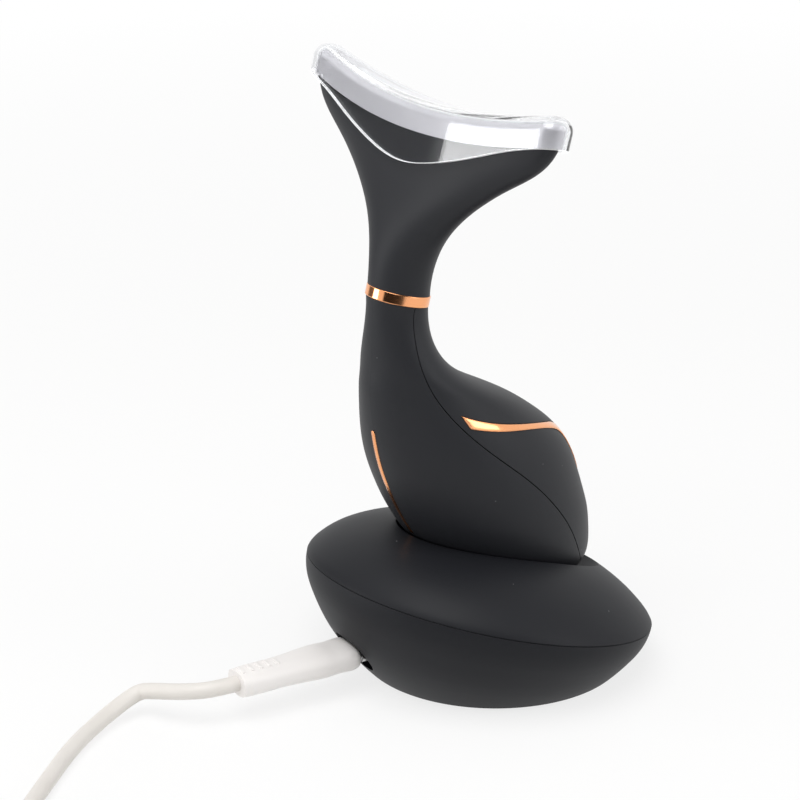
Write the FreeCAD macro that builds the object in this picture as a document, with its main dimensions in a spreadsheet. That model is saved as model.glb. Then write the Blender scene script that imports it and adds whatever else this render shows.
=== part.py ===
"""A face and neck massager standing in its charging base, with its USB lead.

Lengths are in millimetres and angles in degrees. +Z is up, +X is the side that the handset's back bulges to,
and the origin is the centre of the foot pad on the table. The handset and the dome of the base share one
tilted frame, the dock: its origin is the middle of the base's edge, and its own z leans toward +X.
"""
import FreeCAD, Part
import math
import os

from FreeCAD import Placement, Rotation, Vector

# Driving dimensions

SIZES = [
    # the dock frame and general fits
    ("dock_x", -4.3), ("dock_z", 19.4), ("dock_tilt", 15.5),
    ("seam_gap", 0.15), ("fit_gap", 0.15), ("move_gap", 0.35), ("seat_gap", 0.1),
    ("far_out", 90.0), ("open_end", 1.0),
    # base pebble: edge radius, dome and bowl heights, their roundness and the dome's lean to the front, walls
    ("edge_radius", 44.2), ("dome_height", 15.2), ("dome_round", 2.6), ("dome_crown", 1.25),
    ("dome_lean", 0.28), ("bowl_depth", 33.7), ("bowl_round", 1.65), ("base_wall", 2.4), ("cup_wall", 1.8),
    ("lip_wall", 1.3), ("lip_rise", 2.0), ("lip_root", 3.5),
    ("foot_lift", 0.8), ("floor_thick", 2.4), ("pad_radius", 26.0), ("pad_thick", 1.6),
    ("ballast_inset", 25.2), ("ballast_thick", 3.0), ("ballast_x", 8.0),
    # charging port, on a line through the middle of the base; places on it are measured in from the mouth
    ("port_turn", 6.5), ("port_z", 10.0), ("port_inset", -0.2),
    ("slot_wide", 13.6), ("slot_tall", 9.0), ("slot_out", -8.7), ("slot_in", 7.3),
    ("socket_wide", 8.94), ("socket_tall", 3.16), ("socket_long", 10.0), ("socket_wall", 0.3),
    ("socket_set", 0.5), ("tongue_wide", 6.7), ("tongue_thick", 0.7), ("tongue_long", 8.2),
    ("tip_wide", 8.25), ("tip_tall", 2.4), ("tip_long", 6.2), ("tip_wall", 0.3),
    ("board_thick", 1.2), ("board_near", 28.3), ("board_far", 7.0), ("board_half", 8.0),
    ("post_radius", 2.4), ("post_near", 25.8), ("post_far", 14.3),
    ("screw_head", 1.9), ("screw_head_tall", 1.2), ("screw_shank", 0.9), ("screw_long", 4.0),
    # charging contacts
    ("pad_across", 6.0), ("charge_radius", 2.2), ("charge_thick", 2.0), ("charge_x", 3.0),
    ("pin_radius", 0.9), ("pin_long", 7.4), ("pin_rest_gap", 0.05), ("barrel_wall", 0.6),
    ("barrel_base", 0.6), ("pin_travel", 0.8), ("block_long", 19.0), ("block_deep", 7.0), ("block_tall", 5.6),
    # neck ring and handle
    ("handle_wall", 2.0), ("ring_low", 71.45), ("ring_tall", 2.3), ("ring_x", -47.1), ("ring_radius", 7.85),
    ("ring_bore", 4.6), ("ring_round", 0.8),
    # trims
    ("trim_depth", 0.9), ("trim_proud", 0.25), ("trim_gap", 0.08), ("strip_half", 0.6),
    ("strip_top", 39.2), ("strip_foot", 13.5),
    # power button, in the handset's back
    ("button_up", 25.0), ("button_back", 22.9), ("button_tilt", 24.0), ("button_radius", 5.5),
    ("button_travel", 0.6), ("button_skirt", 4.6), ("flange_radius", 6.6), ("flange_thick", 1.0),
    ("stem_radius", 1.3), ("stem_long", 1.6), ("switch_side", 6.0), ("switch_tall", 3.4),
    ("plunger_radius", 1.7), ("plunger_tall", 0.5), ("light_radius", 1.0), ("light_drop", 8.6),
    ("light_deep", 4.2),
    # inner frame, board and battery
    ("chassis_half", 1.2), ("chassis_low", 6.5), ("chassis_top", 60.0),
    ("main_front", -24.0), ("main_back", 8.0), ("main_low", 16.0), ("main_top", 40.0), ("main_thick", 1.6),
    ("chip_side", 7.0), ("chip_tall", 1.2),
    ("cell_front", -18.0), ("cell_back", 3.0), ("cell_low", 15.0), ("cell_top", 42.0), ("cell_thick", 9.0),
    ("wire_radius", 1.4),
    # head, plate and cap
    ("head_wall", 1.6), ("saddle_low", 111.4), ("saddle_radius", 165.0), ("plate_x", -48.5),
    ("plate_deep", 5.75), ("plate_wide", 43.2), ("plate_end", 3.2), ("plate_thick", 5.6),
    ("plate_round", 1.6), ("plate_lip", 2.2), ("window_deep", 2.9), ("window_wide", 30.0),
    ("window_end", 2.2), ("window_thick", 1.6),
    ("window_ledge", 0.9), ("led_gap", 0.15), ("led_thick", 1.0), ("led_side", 2.2), ("led_tall", 1.3),
    ("led_step", 2.9), ("cap_gap", 0.4), ("cap_wall", 1.3), ("cap_round", 3.3),
    ("motor_radius", 3.2), ("motor_long", 12.0), ("motor_up", 97.5), ("motor_x", -48.6), ("motor_y", -9.0),
    ("cradle_low", 90.5), ("shaft_radius", 0.6), ("weight_radius", 2.8), ("weight_long", 4.4),
    ("weight_gap", 0.8), ("weight_hub", 1.1),
    # lead
    ("cord_radius", 2.0), ("mold_wide", 11.2), ("mold_tall", 6.8), ("mold_blunt", 2.6),
    ("coil_x", -72.7), ("coil_y", -51.3), ("coil_outer", 24.0), ("coil_pitch", 4.6), ("coil_rise", 4.6),
    ("coil_turn", 133.0), ("tie_thick", 0.8), ("tie_long", 7.0), ("tie_gap", 0.3),
    ("big_wide", 15.6), ("big_tall", 8.0), ("big_long", 24.0), ("big_round", 2.0), ("big_neck", 10.0),
    ("a_wide", 12.0), ("a_tall", 4.5), ("a_long", 18.7), ("a_wall", 0.3), ("a_insert", 1.9),
]

# Sections across the handle, bottom to neck: height, middle, half depth and half width
HANDLE = [
    ("seat", 2.5, 3.2, 12.5, 11.5), ("heel", 6.0, 2.6, 18.9, 16.4), ("rim", 14.0, 0.3, 26.9, 20.5),
    ("hip", 20.0, -3.7, 29.1, 22.0), ("belly", 27.0, -8.2, 30.4, 22.4), ("waist", 34.0, -12.7, 30.4, 21.8),
    ("chest", 41.0, -17.0, 29.4, 20.0), ("shoulder", 47.0, -22.6, 26.2, 17.4),
    ("nape", 51.5, -29.2, 20.8, 15.0),
    ("collar", 56.0, -38.4, 12.4, 12.0), ("throat", 63.0, -44.2, 8.4, 8.4), ("neck", 71.3, -47.0, 7.5, 7.5),
]

# Sections across the head, neck to tips: the same four, and how blunt the ends of the oval are
HEAD = [
    ("stem", 73.9, -47.2, 7.5, 7.5, 2.0), ("fork", 79.0, -48.0, 7.5, 7.9, 2.0),
    ("spread", 85.0, -48.5, 7.2, 10.0, 2.05),
    ("flare", 93.0, -48.7, 6.5, 15.7, 2.15), ("wing", 101.0, -48.6, 5.9, 24.8, 2.25),
    ("fluke", 108.0, -48.5, 5.75, 35.2, 2.35), ("edge", 113.0, -48.5, 5.7, 40.9, 2.45),
    ("point", 117.5, -48.5, 5.7, 43.1, 2.5), ("over", 122.0, -48.5, 5.7, 43.9, 2.5),
]

# Sections across the well in the base
WELL = [
    ("well_floor", 2.4, 3.4, 13.5, 12.3), ("well_low", 6.0, 5.0, 22.1, 17.6),
    ("well_rim", 14.0, 4.8, 32.4, 22.0),
    ("well_open", 20.0, 2.6, 36.6, 24.3), ("well_over", 26.0, 0.5, 40.7, 26.6),
]

# Parting line of the handle seen from the side, neck to foot, and the belt's two edges
SEAM = [(-47.6, 80), (-47.5, 71.2), (-46.1, 64.4), (-43.8, 56.8), (-38.2, 49.3), (-25.7, 40.5), (-13.2, 34.3),
        (-1.5, 27.3), (7, 20.7), (16, 12.6), (21, 9.4), (34, 7)]
BELT_UPPER = [(-33.3, 48.0), (-18, 46.9), (-1.5, 46.3), (6.5, 44.2), (11.5, 39.6), (20, 31.5)]
BELT_LOWER = [(19.2, 30.6), (10.6, 39.1), (5.7, 43.1), (-1.3, 45.1), (-16, 45.5), (-30.7, 45.2)]
SKIRT = [(0, 104.2), (12.5, 106.4), (24, 110.4), (33, 113.9), (40, 116.0), (49, 118.2)]

# Route of the lead to the coil: places from the plug's end, and heights above the table
ROUTE = [(-6.5, 0.74, 10), (-11.5, 6.0, 8.9), (-16.3, 16.4, 6.5), (-27.5, 16.3, 3.0), (-39.8, 10.3, 2.2),
         (-52.7, 0.2, 2.1), (-65.2, -10.2, 2.4)]

# Route of the lead from the coil to its other plug, from the coil's end: outward, along and up
TAIL = [(0, 0, 0), (0, 8, 0), (2, 19, -1.6), (5.8, 30, -3.6), (8.7, 37.6, -3.6)]

# Sections along the plug's grip, from its nose: place, and shares of the full width and height
GRIP = [(0, 0.8, 0.66), (0.7, 0.93, 0.9), (2.2, 1, 1), (8, 0.99, 1), (15, 0.92, 0.96),
        (23, 0.83, 0.91), (32, 0.78, 0.88)]

doc = FreeCAD.newDocument("massager")
sheet = doc.addObject("Spreadsheet::Sheet", "sizes")
PARTS = []
ORIGIN = Vector(0, 0, 0)
ALONG_X = Vector(1, 0, 0)
ALONG_Y = Vector(0, 1, 0)
ALONG_Z = Vector(0, 0, 1)


def station_rows(stations):
    """The sheet rows of each section."""
    rows = []
    for name, *numbers in stations:
        words = ("up", "mid", "deep", "wide", "blunt")
        rows += [(f"{name}_{word}", number) for word, number in zip(words, numbers)]
    return rows


def fill_sheet():
    """Write every driving dimension to its own cell, with its alias."""
    rows = SIZES + station_rows(HANDLE) + station_rows(HEAD) + station_rows(WELL)
    for number, (alias, value) in enumerate(rows, start=1):
        sheet.set(f"A{number}", alias)
        sheet.set(f"B{number}", str(value))
        sheet.setAlias(f"B{number}", alias)
    doc.recompute()


def size(alias):
    return float(sheet.get(alias))


fill_sheet()
DOCK = Placement(Vector(size("dock_x"), 0, size("dock_z")), Rotation(ALONG_Y, size("dock_tilt")))
PORT = Placement(ORIGIN, Rotation(ALONG_Z, -size("port_turn")))
HOME = Placement()


# Helpers


def at(x, y, z, turn=None):
    return Placement(Vector(x, y, z), turn or Rotation())


def box(name, length, width, height, place=HOME):
    """A block whose sides are sheet expressions."""
    block = doc.addObject("Part::Box", name)
    for side, expression in zip(("Length", "Width", "Height"), (length, width, height)):
        block.setExpression(side, expression)
    block.Placement = place
    return block


def cylinder(name, radius, height, place=HOME):
    """A round bar whose radius and height are sheet expressions."""
    bar = doc.addObject("Part::Cylinder", name)
    bar.setExpression("Radius", radius)
    bar.setExpression("Height", height)
    bar.Placement = place
    return bar


def feature(name, shape):
    """A shape that no ready-made object gives."""
    item = doc.addObject("Part::Feature", name)
    item.Shape = shape
    return item


def pair(kind, name, base, tool):
    item = doc.addObject(kind, name)
    item.Base = base
    item.Tool = tool
    return item


def cut(name, base, *tools):
    for number, tool in enumerate(tools):
        base = pair("Part::Cut", f"{name}_cut{number}", base, tool)
    return base


def common(name, first, *others):
    for number, other in enumerate(others):
        first = pair("Part::Common", f"{name}_common{number}", first, other)
    return first


def fuse(name, *items):
    item = doc.addObject("Part::MultiFuse", f"{name}_fuse")
    item.Shapes = list(items)
    return item


def node(label, item, place=HOME):
    """Name a finished piece and put it in its frame."""
    item.Label = label
    item.Placement = place.multiply(item.Placement)
    PARTS.append(item)
    return item


def section(name, station, grow, lift):
    """One ellipse across the handset, grown and lifted by sheet expressions, with its start at the front."""
    ring = doc.addObject("Part::Ellipse", name)
    ring.Placement = Placement(ORIGIN, Rotation(ALONG_Z, 180))
    ring.setExpression("MajorRadius", f"sizes.{station}_deep + {grow}")
    ring.setExpression("MinorRadius", f"sizes.{station}_wide + {grow}")
    ring.setExpression("Placement.Base.x", f"sizes.{station}_mid")
    ring.setExpression("Placement.Base.z", f"sizes.{station}_up + {lift}")
    return ring


def skin(name, stations, grow="0", lift="0"):
    """A smooth solid through the sections of one table."""
    loft = doc.addObject("Part::Loft", name)
    rings = []
    for number, (station, *_) in enumerate(stations):
        rings.append(section(f"{name}_{station}", station, grow, lift if number == 0 else "0"))
    loft.Sections = rings
    loft.Solid = True
    return loft


def long_oval(wide, deep, end):
    """A long oval across the y axis: flat arcs for its sides, and tight arcs tangent to them at its ends."""
    reach = wide - end
    side = (reach ** 2 + deep ** 2 - end ** 2) / (2 * (deep - end))
    x = end * (side - deep) / (side - end)
    y = reach + end * reach / (side - end)
    corners = [Vector(x, -y, 0), Vector(x, y, 0), Vector(-x, y, 0), Vector(-x, -y, 0)]
    middles = [Vector(deep, 0, 0), Vector(0, wide, 0), Vector(-deep, 0, 0), Vector(0, -wide, 0)]
    arcs = []
    for number, middle in enumerate(middles):
        arcs.append(Part.Arc(corners[number], middle, corners[(number + 1) % 4]).toShape())
    return Part.Wire(arcs)


def blunt_oval(wide, deep, blunt):
    """An oval of two half sizes as a single closed curve; the larger blunt is, the fuller are its ends."""
    power = 2 / blunt
    points = []
    for step in range(OVAL_STEPS):
        turn = math.radians(360) * (step + 0.5) / OVAL_STEPS
        across, along = math.cos(turn), math.sin(turn)
        points.append(Vector(math.copysign(abs(across) ** power, across) * deep,
                             math.copysign(abs(along) ** power, along) * wide, 0))
    curve = Part.BSplineCurve()
    curve.interpolate(Points=points, PeriodicFlag=True)
    return Part.Wire(curve.toShape())


OVAL_STEPS = 30


def head_oval(station, grow):
    """One section of the head."""
    return blunt_oval(size(f"{station}_wide") + grow, size(f"{station}_deep") + grow, size(f"{station}_blunt"))


def head_skin(name, grow, past=0):
    """A smooth solid through the head's sections, each grown all round; past draws its two ends out."""
    loft = doc.addObject("Part::Loft", name)
    rings = []
    for number, (station, *_) in enumerate(HEAD):
        wire = head_oval(station, grow)
        lift = -past if number == 0 else past if number == len(HEAD) - 1 else 0
        wire.translate(Vector(size(f"{station}_mid"), 0, size(f"{station}_up") + lift))
        rings.append(feature(f"{name}_{station}", wire))
    loft.Sections = rings
    loft.Solid = True
    return loft


def spline(points):
    curve = Part.BSplineCurve()
    curve.interpolate(points)
    return curve.toShape()


def side_prism(name, points, corners):
    """A side-view outline, part smooth curve and part corners, carried right through the handset."""
    reach = size("far_out")
    curve = [Vector(x, -reach, z) for x, z in points]
    rest = [curve[-1]] + [Vector(x, -reach, z) for x, z in corners] + [curve[0]]
    wire = Part.Wire([spline(curve), Part.makePolygon(rest)])
    return feature(name, Part.Face(Part.Wire(wire.OrderedEdges)).extrude(ALONG_Y * (reach + reach)))


def doubled(alias):
    return f"sizes.{alias} * 2"


# Base


def half_outline(tall, outward, upward, edge):
    """Outline of the dome or the bowl: upright at the edge, and level at the axis."""
    points = [Vector(edge, 0, 0)]
    for step in range(EDGE_STEPS, PEBBLE_STEPS):
        turn = math.radians(90) * step / PEBBLE_STEPS
        out = edge * math.cos(turn) ** (2 / size(outward))
        points.append(Vector(out, 0, tall * math.sin(turn) ** (2 / size(upward))))
    points.append(Vector(0, 0, tall))
    curve = Part.BSplineCurve()
    upright = Vector(0, 0, math.copysign(1, tall))
    curve.interpolate(Points=points, InitialTangent=upright, FinalTangent=-ALONG_X)
    return curve


PEBBLE_STEPS = 9
EDGE_STEPS = 2
DOME_RINGS = 12
DOME_SHARE = 0.86


def leaning_dome(shrink):
    """Rings up the dome's outline, each moved to the front by its height; the flat top lies in the well."""
    edge = size("edge_radius") - shrink
    outline = half_outline(size("dome_height") - shrink, "dome_round", "dome_crown", edge)
    rings = []
    for step in range(DOME_RINGS + 1):
        point = outline.value(outline.LastParameter * DOME_SHARE * step / DOME_RINGS)
        middle = Vector(-size("dome_lean") * point.z, 0, point.z)
        rings.append(Part.Wire(Part.Circle(middle, ALONG_Z, point.x).toShape()))
    return Part.makeLoft(rings, True)


def round_bowl(shrink):
    edge = size("edge_radius") - shrink
    outline = half_outline(shrink - size("bowl_depth"), "bowl_round", "bowl_round", edge).toShape()
    top, foot = outline.Vertexes[0].Point, outline.Vertexes[-1].Point
    closed = Part.Wire([outline, Part.makePolygon([foot, ORIGIN, top])])
    return Part.Face(closed).revolve(ORIGIN, ALONG_Z, 360)


def pebble(name, shrink):
    """The base's whole form, drawn in by shrink."""
    return feature(name, leaning_dome(shrink).fuse(round_bowl(shrink)))


def slab(name, low, high):
    """Everything between two heights of the dock frame."""
    reach = size("far_out")
    block = Part.makeBox(reach + reach, reach + reach, high - low, Vector(-reach, -reach, low))
    return feature(name, block)


def level_slab(name, low, high):
    """Everything between two heights above the table, written in the dock frame."""
    reach = size("far_out")
    block = Part.makeBox(reach + reach, reach + reach, high - low, Vector(-reach, -reach, low))
    block.Placement = DOCK.inverse().multiply(block.Placement)
    return feature(name, block)


def base_shells():
    wall = size("base_wall")
    reach = size("far_out")
    well = skin("well", WELL)
    cup = skin("cup", WELL, "sizes.cup_wall", "-sizes.cup_wall")
    hull = pebble("hull", 0)
    hollow = pebble("hollow", wall)
    upper = slab("upper", 0, reach)
    cup_body = common("cup_body", cup, hull)
    dome = common("dome", cut("hull_shell", hull, hollow), upper)
    pin_holes = [
        cylinder(f"pin_hole_{side}", "sizes.pin_radius + sizes.move_gap", doubled("block_tall"),
                 at(size("charge_x"), sign * size("pad_across"), -size("block_tall")))
        for side, sign in (("left", 1), ("right", -1))
    ]
    top = cut("top_shell", fuse("top_shell", dome, cup_body), well, *pin_holes)
    node("base_top_shell", top, DOCK)

    low = slab("lower", -reach, -size("seam_gap"))
    above_table = level_slab("above_table", size("foot_lift"), reach)
    inside = common("bowl_inside", pebble("hollow_low", wall),
                    level_slab("above_floor", size("foot_lift") + size("floor_thick"), reach))
    bowl = cut("bowl", common("bowl", pebble("hull_low", 0), low, above_table), inside)
    lip_inner = pebble("lip_inner", wall + size("lip_wall"))
    lip_outer = pebble("lip_outer", wall + size("fit_gap"))
    root = common("lip_root", cut("lip_root", pebble("lip_skin", wall), lip_inner),
                  slab("lip_root_slab", -size("lip_root"), -size("seam_gap")))
    rise = common("lip_rise", cut("lip_rise", lip_outer, lip_inner),
                  slab("lip_rise_slab", -size("lip_root"), size("lip_rise")))
    posts = []
    floor_z = size("foot_lift") + size("floor_thick")
    for name in ("post_near", "post_far"):
        under = "sizes.port_z - sizes.socket_tall / 2 - sizes.board_thick"
        post = cylinder(f"{name}_bar", "sizes.post_radius", f"{under} - sizes.foot_lift - sizes.floor_thick")
        post.Placement = DOCK.inverse().multiply(PORT).multiply(at(inward(name), 0, floor_z))
        posts.append(post)
    solid = fuse("bottom_shell", bowl, root, rise, *posts)
    recess = cylinder("pad_recess", "sizes.pad_radius + sizes.fit_gap", "sizes.pad_thick + sizes.fit_gap")
    recess.Placement = DOCK.inverse()
    slot = slot_cutter()
    slot.Placement = DOCK.inverse().multiply(PORT)
    pilots = []
    for name in ("post_near", "post_far"):
        low = board_under() - size("screw_long") + size("seat_gap")
        pilots.append(cylinder(f"{name}_pilot", "sizes.screw_shank + sizes.seat_gap", "sizes.screw_long",
                               DOCK.inverse().multiply(PORT).multiply(at(inward(name), 0, low))))
    node("base_bottom_shell", cut("bottom_shell", solid, recess, slot, *pilots), DOCK)


def port_mouth():
    """How far out on its line the port's mouth lies: set in from the bowl's outside at that height."""
    bowl = round_bowl(0)
    bowl.Placement = DOCK
    start, stop = Vector(0, 0, size("port_z")), Vector(-size("far_out"), 0, size("port_z"))
    inside = bowl.common(Part.makeLine(PORT.multVec(start), PORT.multVec(stop)))
    return inside.Length - size("port_inset")


MOUTH = port_mouth()
print(f"port: mouth {MOUTH:.3f} out, bowl's outside {MOUTH + size('port_inset'):.3f}")


def inward(alias):
    """Place on the port's line of something set in from the port's mouth."""
    return size(alias) - MOUTH


def board_under():
    """Height of the charging board's underside."""
    return size("port_z") - size("socket_tall") / 2 - size("board_thick")


def stadium(wide, tall, x):
    """A flat-sided outline with round ends, across the port's line."""
    radius = tall / 2
    half = wide / 2 - radius
    signs = ((1, 1), (-1, 1), (-1, -1), (1, -1))
    corners = [Vector(x, across * half, up * radius) for across, up in signs]
    left = Part.Arc(corners[1], Vector(x, -half - radius, 0), corners[2]).toShape()
    right = Part.Arc(corners[3], Vector(x, half + radius, 0), corners[0]).toShape()
    top, under = Part.makeLine(corners[0], corners[1]), Part.makeLine(corners[2], corners[3])
    return Part.Wire([top, left, under, right])


def stadium_bar(name, wide, tall, start, stop):
    """A straight bar of that outline from one place on the port's line to another."""
    face = Part.Face(stadium(wide, tall, start))
    face.translate(Vector(0, 0, size("port_z")))
    return feature(name, face.extrude(ALONG_X * (stop - start)))


def slot_cutter():
    start, stop = inward("slot_out"), inward("slot_in")
    return stadium_bar("port_slot", size("slot_wide"), size("slot_tall"), start, stop)


def base_inside():
    floor_z = size("foot_lift") + size("floor_thick")
    node("base_foot_pad", cylinder("foot_pad", "sizes.pad_radius", "sizes.pad_thick"))
    node("base_ballast", cylinder("ballast", "sizes.edge_radius - sizes.ballast_inset", "sizes.ballast_thick",
                                  at(size("ballast_x"), 0, floor_z + size("seat_gap"))))
    corner = at(inward("board_far"), -size("board_half"), board_under())
    board = box("charge_board", "sizes.board_near - sizes.board_far", doubled("board_half"),
                "sizes.board_thick", corner)
    holes = [
        cylinder(f"{name}_hole", "sizes.screw_shank + sizes.seat_gap", doubled("board_thick"),
                 at(inward(name), 0, board_under() - size("board_thick") / 2))
        for name in ("post_near", "post_far")
    ]
    node("base_circuit_board", cut("charge_board", board, *holes), PORT)
    screws = []
    for name in ("post_near", "post_far"):
        top = board_under() + size("board_thick")
        seat = at(inward(name), 0, top)
        head = cylinder(f"{name}_screw_head", "sizes.screw_head", "sizes.screw_head_tall", seat)
        shank = cylinder(f"{name}_shank", "sizes.screw_shank", "sizes.screw_long",
                         at(inward(name), 0, top - size("screw_long") + size("seat_gap")))
        screws.append(fuse(f"{name}_screw", head, shank))
    both = doc.addObject("Part::Compound", "board_screws")
    both.Links = screws
    node("base_board_screws", both, PORT)


def usb_port():
    front = inward("socket_set")
    back = front + size("socket_long")
    wall = size("socket_wall")
    outer = stadium_bar("socket_outer", size("socket_wide"), size("socket_tall"), front, back)
    inner = stadium_bar("socket_inner", size("socket_wide") - wall - wall, size("socket_tall") - wall - wall,
                        front - wall, back - wall)
    node("usb_socket", cut("socket", outer, inner), PORT)
    node("usb_socket_tongue",
         box("tongue", "sizes.tongue_long", "sizes.tongue_wide", "sizes.tongue_thick",
             at(back - wall - size("tongue_long"), -size("tongue_wide") / 2,
                size("port_z") - size("tongue_thick") / 2)), PORT)


def contacts():
    under = size("well_floor_up") - size("cup_wall")
    top = under - size("seat_gap")
    block_x = size("charge_x") - size("block_deep") / 2
    block = box("contact_body", "sizes.block_deep", "sizes.block_long", "sizes.block_tall",
                at(block_x, -size("block_long") / 2, top - size("block_tall")))
    bores = []
    tubes = []
    pin_top = size("seat_up") - size("pin_rest_gap")
    foot = pin_top - size("pin_long")
    tube_low = foot - size("pin_travel") - size("seat_gap") - size("barrel_base")
    for side, sign in (("left", 1), ("right", -1)):
        place = at(size("charge_x"), sign * size("pad_across"), tube_low)
        outer = "sizes.pin_radius + sizes.move_gap + sizes.barrel_wall"
        bores.append(cylinder(f"bore_{side}", f"{outer} + sizes.seat_gap", doubled("block_tall"), place))
        tube = cylinder(f"tube_{side}", outer, "sizes.block_tall")
        tube.Placement = place
        hollow = cylinder(f"tube_bore_{side}", "sizes.pin_radius + sizes.move_gap", doubled("block_tall"),
                          at(place.Base.x, place.Base.y, tube_low + size("barrel_base")))
        below = slab(f"tube_slab_{side}", -size("far_out"), top)
        tubes.append(common(f"tube_{side}", cut(f"tube_{side}", tube, hollow), below))
        stand = at(place.Base.x, place.Base.y, foot)
        pin = cylinder(f"pin_{side}", "sizes.pin_radius", "sizes.pin_long", stand)
        node(f"contact_pin_{side}", pin, DOCK)
    node("contact_block", cut("contact_body", block, *bores), DOCK)
    pair_of_tubes = doc.addObject("Part::Compound", "barrels")
    pair_of_tubes.Links = tubes
    node("contact_barrels", pair_of_tubes, DOCK)


# Handset


def button_frame(depth, drop=0):
    """A place on the button's line: depth is outward from the back's surface, drop is down along the back."""
    turn = Rotation(ALONG_Y, 90 - size("button_tilt"))
    out = turn.multVec(ALONG_Z)
    down = turn.multVec(ALONG_X)
    return Placement(Vector(size("button_back"), 0, size("button_up")) + out * depth + down * drop, turn)


def front_region(name, shift):
    """The side-view region in front of the parting line, with its edge moved by shift."""
    reach = size("far_out")
    edge = [(x + shift, z + shift) for x, z in SEAM]
    ahead = -reach - reach
    return side_prism(name, edge, [(edge[-1][0], -reach), (ahead, -reach), (ahead, edge[0][1])])


def belt_region(name, inset):
    """The belt's side-view outline, drawn in by inset."""
    upper = [(x + (inset if number == 0 else 0), z - inset) for number, (x, z) in enumerate(BELT_UPPER)]
    lower = [(x, z + inset) for x, z in BELT_LOWER]
    reach = size("far_out")
    top = spline([Vector(x, -reach, z) for x, z in upper])
    bottom = spline([Vector(x, -reach, z) for x, z in lower])
    first, last = top.Vertexes[0].Point, top.Vertexes[-1].Point
    wire = Part.Wire([top, Part.makeLine(last, bottom.Vertexes[0].Point), bottom,
                      Part.makeLine(bottom.Vertexes[-1].Point, first)])
    return feature(name, Part.Face(wire).extrude(ALONG_Y * (reach + reach)))


def strip_region(name, inset):
    """The front strip's outline: a narrow upright slot with a round top, carried forward."""
    half = size("strip_half") - inset
    top = size("strip_top") - size("strip_half")
    foot = size("strip_foot") + inset
    x = size("belly_mid")
    corners = [Vector(x, half, top), Vector(x, half, foot), Vector(x, -half, foot), Vector(x, -half, top)]
    cap = Part.Arc(corners[3], Vector(x, 0, top + half), corners[0]).toShape()
    wire = Part.Wire([Part.makePolygon(corners), cap])
    return feature(name, Part.Face(wire).extrude(ALONG_X * -size("far_out")))


def handle_shells():
    outside = skin("handle_outer", HANDLE)
    inside = skin("handle_inner", HANDLE, "-sizes.handle_wall", "sizes.handle_wall")
    deep = skin("trim_floor", HANDLE, "-sizes.trim_depth")
    front = front_region("front_side", 0)
    back = front_region("rear_side", size("seam_gap"))
    shell = cut("handle_shell", outside, inside)
    strip_groove = cut("strip_groove", strip_region("strip_slot", 0), deep)
    pad_holes = [
        cylinder(f"charge_hole_{side}", "sizes.charge_radius + sizes.seat_gap", doubled("charge_thick"),
                 at(size("charge_x"), sign * size("pad_across"), size("seat_up") - size("charge_thick") / 2))
        for side, sign in (("left", 1), ("right", -1))
    ]
    front_half = common("front_half", shell, front)
    node("front_shell", cut("front_half", front_half, strip_groove, *pad_holes), DOCK)
    belt_groove = cut("belt_groove", belt_region("belt_slot", 0), deep)
    button_hole = cylinder("button_hole", "sizes.button_radius + sizes.move_gap", doubled("flange_radius"),
                           button_frame(-size("flange_radius")))
    light_hole = cylinder("light_hole", "sizes.light_radius + sizes.seat_gap", doubled("flange_radius"),
                          button_frame(-size("flange_radius"), size("light_drop")))
    node("rear_shell", cut("rear_half", shell, back, belt_groove, button_hole, light_hole), DOCK)


def trims():
    proud = skin("trim_face", HANDLE, "sizes.trim_proud")
    deep = skin("trim_back", HANDLE, "-sizes.trim_depth + sizes.trim_gap")
    layer = cut("trim_layer", proud, deep)
    node("front_strip", common("front_strip_bar", layer, strip_region("strip_bar", size("trim_gap"))), DOCK)
    proud_belt = skin("belt_face", HANDLE, "sizes.trim_proud")
    deep_belt = skin("belt_back", HANDLE, "-sizes.trim_depth + sizes.trim_gap")
    belt_layer = cut("belt_layer", proud_belt, deep_belt)
    node("rear_belt", common("rear_belt_bar", belt_layer, belt_region("belt_bar", size("trim_gap"))), DOCK)
    charge = []
    for side, sign in (("left", 1), ("right", -1)):
        charge.append(cylinder(f"charge_{side}", "sizes.charge_radius", "sizes.charge_thick",
                               at(size("charge_x"), sign * size("pad_across"), size("seat_up"))))
    both = doc.addObject("Part::Compound", "charge_discs")
    both.Links = charge
    node("charge_pads", both, DOCK)


def power_button():
    face = skin("button_face", HANDLE, "sizes.trim_proud")
    skirt = size("button_skirt")
    plug = cylinder("button_plug", "sizes.button_radius", "sizes.button_skirt * 2", button_frame(-skirt))
    crown = common("button_crown", plug, face)
    flange_low = -skirt - size("flange_thick")
    flange = cylinder("button_flange", "sizes.flange_radius", "sizes.flange_thick", button_frame(flange_low))
    stem_low = flange_low - size("stem_long")
    stem = cylinder("button_stem", "sizes.stem_radius", "sizes.stem_long", button_frame(stem_low))
    node("power_button", fuse("button", crown, flange, stem), DOCK)
    tip = stem_low - size("button_travel") - size("seat_gap")
    side = size("switch_side")
    low = tip - size("plunger_tall") - size("switch_tall")
    body = box("switch_body", "sizes.switch_side", "sizes.switch_side", "sizes.switch_tall",
               button_frame(low).multiply(at(-side / 2, -side / 2, 0)))
    plunger = cylinder("switch_plunger", "sizes.plunger_radius", "sizes.plunger_tall",
                       button_frame(tip - size("plunger_tall")))
    node("button_switch", fuse("switch", body, plunger), DOCK)
    lens_skin = skin("light_face", HANDLE)
    lens = cylinder("light_bar", "sizes.light_radius", "sizes.light_deep * 2",
                    button_frame(-size("light_deep"), size("light_drop")))
    node("status_light", common("light_lens", lens, lens_skin), DOCK)
    return low


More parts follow.
